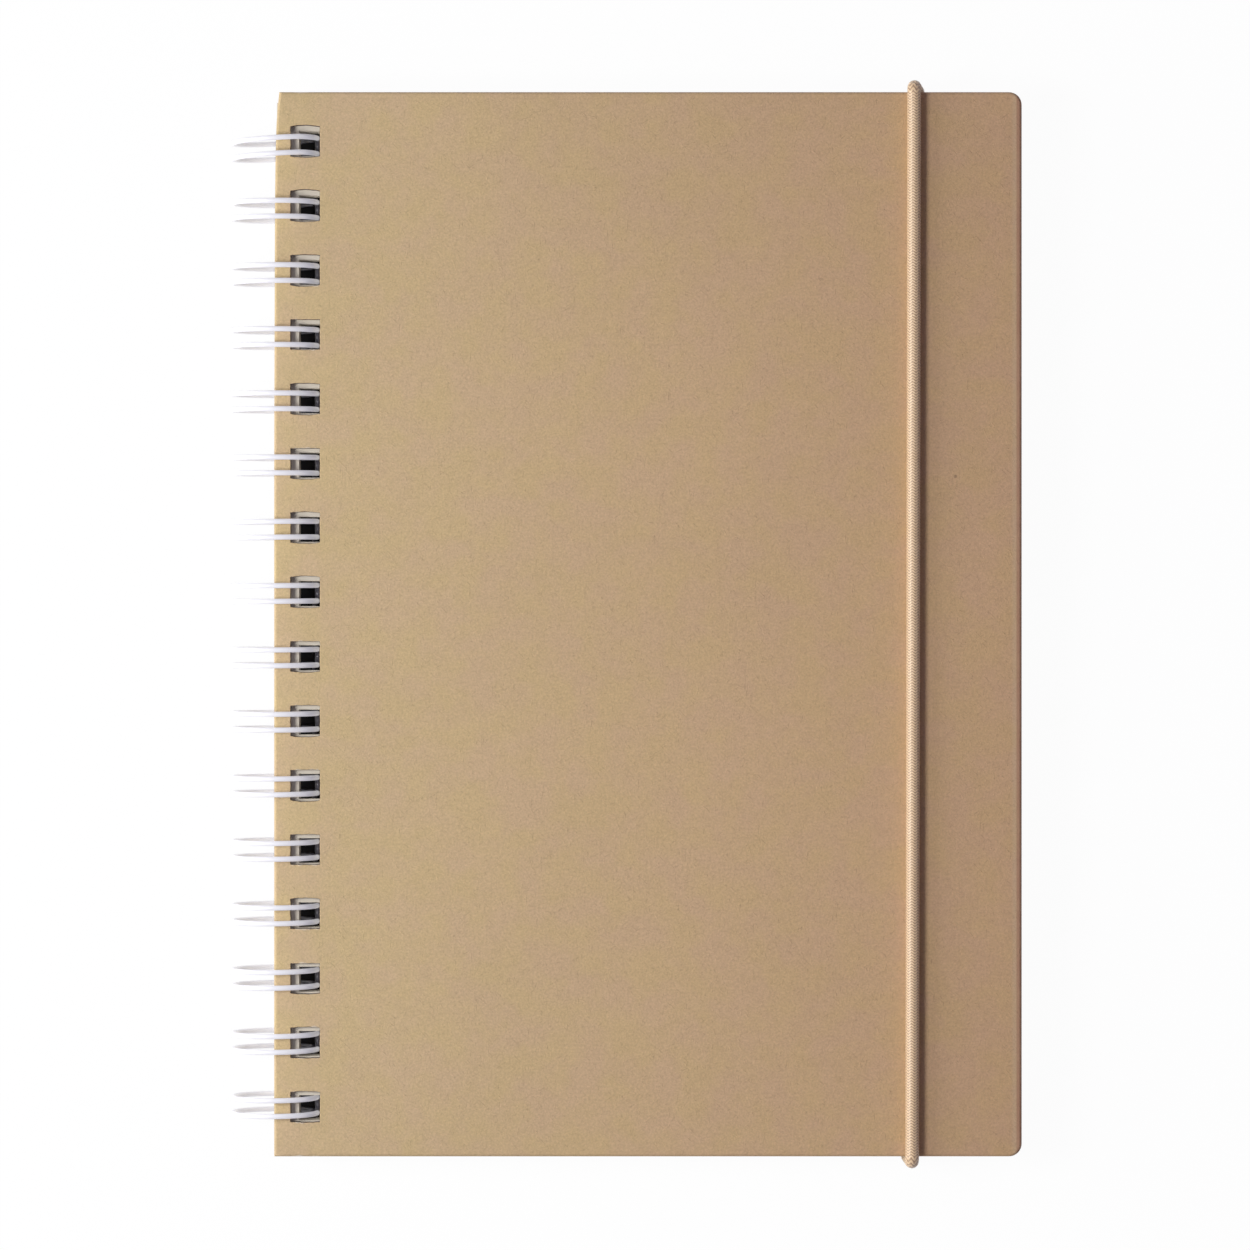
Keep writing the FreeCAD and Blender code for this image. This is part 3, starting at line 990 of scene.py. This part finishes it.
def stitch_ring(name):
    """One ring of stitches about the X axis, with its height kept for the finish to paint shade
    into its grooves.
    """
    deselect()
    bpy.ops.mesh.primitive_circle_add(vertices=COLUMNS * POINTS_PER_COLUMN, radius=CORD_RADIUS,
                                      rotation=(0, math.pi / 2, 0))
    ring = bpy.context.object
    ring.name = name
    bpy.ops.object.transform_apply(location=True, rotation=True, scale=True)
    bpy.ops.object.mode_set(mode="EDIT")
    bpy.ops.mesh.select_all(action="SELECT")
    step = Vector((STITCH / RINGS_PER_STITCH, 0, 0))
    for _ in range(RINGS_PER_STITCH):
        bpy.ops.mesh.extrude_region_move(TRANSFORM_OT_translate={"value": step})
    bpy.ops.object.mode_set(mode="OBJECT")
    crest = ring.data.attributes.new("crest", "FLOAT", "POINT")
    for vertex, value in zip(ring.data.vertices, crest.data):
        around = (math.atan2(vertex.co.z, vertex.co.y) / (2 * math.pi) + BRAID_TURN / COLUMNS) % 1
        thread, ridge = stitch_height(vertex.co.x / STITCH, around)
        inward = (1 - thread) * THREAD_RELIEF + (1 - ridge) * COLUMN_RELIEF
        factor = 1 - inward / CORD_RADIUS
        vertex.co.y *= factor
        vertex.co.z *= factor
        value.value = thread * (0.35 + 0.65 * ridge)
    return ring


def bent_route(name, corners, radii):
    """A curve of straight runs, with a round bend of its own radius at each inner corner."""
    points = [(corners[0], None, None)]
    for before, corner, after, radius in zip(corners, corners[1:], corners[2:], radii):
        back = (before - corner).normalized()
        on = (after - corner).normalized()
        turn = math.pi - back.angle(on)
        reach = radius * math.tan(turn / 2)
        handle = radius * 4 / 3 * math.tan(turn / 4)
        entry = corner + back * reach
        leave = corner + on * reach
        points.append((entry, None, entry - back * handle))
        points.append((leave, leave - on * handle, None))
    points.append((corners[-1], None, None))
    curve = bpy.data.curves.new(name, "CURVE")
    curve.dimensions = "3D"
    curve.twist_mode = "MINIMUM"
    spline = curve.splines.new("BEZIER")
    spline.bezier_points.add(len(points) - 1)
    spline.resolution_u = 16
    for number, (knot, (place, left, right)) in enumerate(zip(spline.bezier_points, points)):
        knot.co = place
        towards = points[max(number - 1, 0)][0]
        onwards = points[min(number + 1, len(points) - 1)][0]
        knot.handle_left = left or place.lerp(towards, 1 / 3)
        knot.handle_right = right or place.lerp(onwards, 1 / 3)
    route = bpy.data.objects.new(name, curve)
    bpy.context.scene.collection.objects.link(route)
    return route, spline.calc_length()


def press_on_boards(cord):
    """Flatten the cord where it lies on the boards and turns round their edges."""
    half_length = front_high.y + PRESS_GAP
    top = front_high.z + PRESS_GAP
    bottom = back_low.z - PRESS_GAP
    for vertex in cord.data.vertices:
        inward = half_length - abs(vertex.co.y)
        below_top = top - vertex.co.z
        above_bottom = vertex.co.z - bottom
        depth = min(inward, below_top, above_bottom)
        if depth <= 0 or in_cord_hole(vertex.co) and above_bottom < below_top:
            continue
        if depth == inward:
            vertex.co.y = math.copysign(half_length, vertex.co.y)
        elif depth == below_top:
            vertex.co.z = top
        else:
            vertex.co.z = bottom


def in_cord_hole(point):
    """Whether a point lies in or over the round hole in the back cover."""
    from_middle = math.hypot(point.x - cord_x, abs(point.y) - abs(bar_places[0].y))
    return from_middle < 2 * CORD_HOLE_RADIUS


def braid(name, corners, radii):
    """A braided cord along a route, with closed ends."""
    route, length = bent_route(name + "_route", corners, radii)
    cord = stitch_ring(name)
    stretch = length / (round(length / STITCH) * STITCH)
    for vertex in cord.data.vertices:
        vertex.co.x *= stretch
    apply_modifier(cord, "ARRAY", fit_type="FIXED_COUNT", count=round(length / STITCH),
                   relative_offset_displace=(1, 0, 0), use_merge_vertices=True,
                   merge_threshold=0.01 * MM)
    apply_modifier(cord, "CURVE", object=route, deform_axis="POS_X")
    bpy.data.objects.remove(route)
    press_on_boards(cord)
    edit(cord)
    bpy.ops.mesh.select_all(action="SELECT")
    bpy.ops.mesh.fill_holes(sides=0)
    bpy.ops.mesh.select_all(action="SELECT")
    bpy.ops.mesh.normals_make_consistent(inside=False)
    bpy.ops.object.mode_set(mode="OBJECT")
    bpy.ops.object.shade_smooth_by_angle(angle=math.radians(80))
    cord.data.materials.append(braid_paint)
    print(name, "is", round(length / MM, 1), "mm long")
    return cord


def braid_finish():
    """Brown polyester thread: satin on its crests, and painted shade in the grooves between."""
    thread = Finish("braided_thread", Roughness=0.45, Sheen_Weight=0.4, Sheen_Roughness=0.4)
    thread.shader.inputs["Specular IOR Level"].default_value = 0.9
    crest = thread.node("ShaderNodeAttribute", {"attribute_name": "crest"}, output="Fac")
    fibre = thread.noise(0.12 * MM, detail=2.0)
    uneven = thread.noise(3.5 * MM, detail=2.0)
    lit = thread.mix(uneven, screen(236, 205, 160), screen(242, 214, 174))
    # Painted shade: the grooves are painted dark brown and the crests keep the thread's own beige.
    depth = crest.above(0.02, 0.60) * 0.85 + fibre * 0.3
    thread.feed(Base_Color=thread.mix(depth, screen(118, 70, 44), lit))
    thread.bump(fibre, 0.03 * MM)
    return thread.material


# %% [markdown]
# At the head, the cord leans towards the fore-edge as it goes under, and at the tail it leans the
# other way a little. Both ends go through the back cover to their metal bars.

# %% Elastic cord
CORD_STANDOFF = 1.25 * MM
EDGE_STANDOFF = 0.95 * MM
CORD_HOLE_BEND = 1.5 * MM
CORD_HOLE_Y = bar_places[0].y
HEAD_LEAN = 1.5 * MM
TAIL_LEAN = -0.4 * MM
RUN_LEAN = 0.2 * MM

braid_paint = braid_finish()
split_z = (back_low.z + back_high.z) / 2
above_z = front_high.z + CORD_STANDOFF
below_z = back_low.z - CORD_STANDOFF
beside_y = front_high.y + EDGE_STANDOFF


def cord_route_over_front():
    """From beside the back cover at the tail, over the front and down at the head."""
    return [Vector((cord_x + TAIL_LEAN, -beside_y, split_z)),
            Vector((cord_x - RUN_LEAN, -beside_y, above_z)),
            Vector((cord_x + RUN_LEAN, beside_y, above_z)),
            Vector((cord_x + HEAD_LEAN, beside_y, split_z))]


def cord_route_under_back(side, lean):
    """From beside the back cover, under it and up through its hole to the bar."""
    return [Vector((cord_x + lean, side * beside_y, split_z)),
            Vector((cord_x + lean, side * beside_y, below_z)),
            Vector((cord_x, side * CORD_HOLE_Y, below_z)),
            Vector((cord_x, side * CORD_HOLE_Y, back_high.z + 0.3 * MM))]


elastic_over_front = braid("elastic_over_front", cord_route_over_front(), [CORD_STANDOFF] * 2)
finish_piece(elastic_over_front, "back_cover", "brown_elastic", "elastic_cord")
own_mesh(elastic_over_front)
cord_ends = ((1, HEAD_LEAN, "elastic_end_head"), (-1, TAIL_LEAN, "elastic_end_tail"))
for side, lean, end_name in cord_ends:
    end = braid(end_name, cord_route_under_back(side, lean), [CORD_STANDOFF, CORD_HOLE_BEND])
    finish_piece(end, "back_cover", "brown_elastic")

# %% [markdown]
# ## The bars on the cord's ends
#
# Inside the back cover, a small metal bar is clamped on each end of the cord, so that it can't
# slip back through its hole. It is a flat strip with rounded ends and a pressed groove.

# %% End bars
BAR_EDGE = 0.2 * MM


def bar_metal():
    """Plated steel with fine drawn lines."""
    metal = Finish("bar_metal", Roughness=0.35, Metallic=1.0)
    drawn = metal.noise(0.25 * MM, detail=2.0, where=metal.place(stretch=(12, 1, 1)))
    metal.feed(Base_Color=metal.mix(drawn, screen(150, 150, 152), screen(196, 196, 198)))
    metal.bump(drawn, 0.01 * MM)
    return metal.material


def end_bar(name, node):
    """One bar: a block with round ends, soft edges and a groove pressed across its middle."""
    low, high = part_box(node)
    size = high - low
    deselect()
    bpy.ops.mesh.primitive_cube_add(size=1, location=(low + high) / 2)
    bar = bpy.context.object
    bar.name = name
    bar.scale = size
    bpy.ops.object.transform_apply(location=True, rotation=True, scale=True)
    edit(bar)
    pick(bar, "EDGE", lambda edge: abs(edge.verts[0].co.z - edge.verts[1].co.z) > size.z / 2)
    bpy.ops.mesh.bevel(offset=size.y * 0.49, segments=8, affect="EDGES")
    pick(bar, "EDGE", lambda edge: all(abs(v.co.z - high.z) < SAME_PLACE for v in edge.verts))
    bpy.ops.mesh.bevel(offset=BAR_EDGE, segments=3, affect="EDGES")
    pick(bar, "FACE", lambda face: face.normal.z > 0.99 and face.calc_area() > size.x * size.y / 4)
    bpy.ops.mesh.inset(thickness=size.y * 0.2)
    groove = Vector((0, 0, -size.z * 0.25))
    bpy.ops.mesh.extrude_region_move(TRANSFORM_OT_translate={"value": groove})
    bpy.ops.object.mode_set(mode="OBJECT")
    smooth_flat(bar, angle=40)
    return bar


metal_paint = bar_metal()
for end_name in ("head", "tail"):
    bar = end_bar("end_bar_" + end_name, "cord_clip_" + end_name)
    bar.data.materials.append(metal_paint)
    finish_piece(bar, "back_cover", "clip_metal", "cord_clip_" + end_name)

# %% [markdown]
# ## The floor
#
# The photo's ground is pure white. The floor is white to the camera and keeps only a light trace
# of the notebook's shadow, so the object still stands on something. Under the notebook it isn't
# white, and behind the row of holes it is painted nearly black, a painted shadow, as the photo's
# holes are.

# %% Floor
FLOOR_SIZE = 6.0
GLOW = 0.965
SOFT_BORDER = 4 * MM
FLOOR_WHITE = (0.94, 0.94, 0.95, 1)
# A painted shadow: the nearly black colour of the floor behind the holes.
FLOOR_PAINTED_SHADOW = (0.012, 0.011, 0.013, 1)

deselect()
bpy.ops.mesh.primitive_plane_add(size=FLOOR_SIZE, location=(0, 0, -0.02 * MM))
floor = bpy.context.object
floor.name = "floor"
paint = Finish("white_floor", Roughness=0.9)
glow = paint.node("ShaderNodeEmission", None, {"Color": (1, 1, 1, 1), "Strength": 1.0})
rays = [paint.node("ShaderNodeLightPath", output=name)
        for name in ("Is Camera Ray", "Is Glossy Ray", "Is Transmission Ray")]
spot = {0: paint.place()}
across = paint.node("ShaderNodeSeparateXYZ", None, spot)
along = paint.node("ShaderNodeSeparateXYZ", None, spot, output=1)
under = (across.above(back_low.x, SOFT_BORDER / 2)
         * across.below(back_high.x - SOFT_BORDER * 1.5, SOFT_BORDER)
         * along.above(back_low.y + SOFT_BORDER / 2, SOFT_BORDER)
         * along.below(back_high.y - SOFT_BORDER * 1.5, SOFT_BORDER))
# Painted shadow: behind the row of holes, under the notebook, the floor is painted nearly black.
behind_holes = across.above(spine_x + 1 * MM, 1 * MM) * across.below(spine_x + 11 * MM, 1 * MM)
paint.feed(Base_Color=paint.mix(under * behind_holes, FLOOR_WHITE, FLOOR_PAINTED_SHADOW))
share = (rays[0] + rays[1] + rays[2]) * (1 - under) * GLOW
blend = paint.node("ShaderNodeMixShader", None, {0: share, 2: glow})
paint.tree.links.new(paint.shader.outputs[0], blend.socket.node.inputs[1])
paint.tree.links.new(blend.socket, paint.tree.nodes["Material Output"].inputs["Surface"])
floor.data.materials.append(paint.material)
floor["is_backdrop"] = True

# %% [markdown]
# ## Sizes, and done
#
# The last cell prints the box of the measured model beside the box of what was modelled here, so
# that the two can be compared.

# %% Print the sizes and finish
visual_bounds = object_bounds()
for name, (low, high) in (("measured", cad_bounds), ("modelled", visual_bounds)):
    print(name, "box in mm:", [round(value / MM, 2) for value in (*low, *high)])
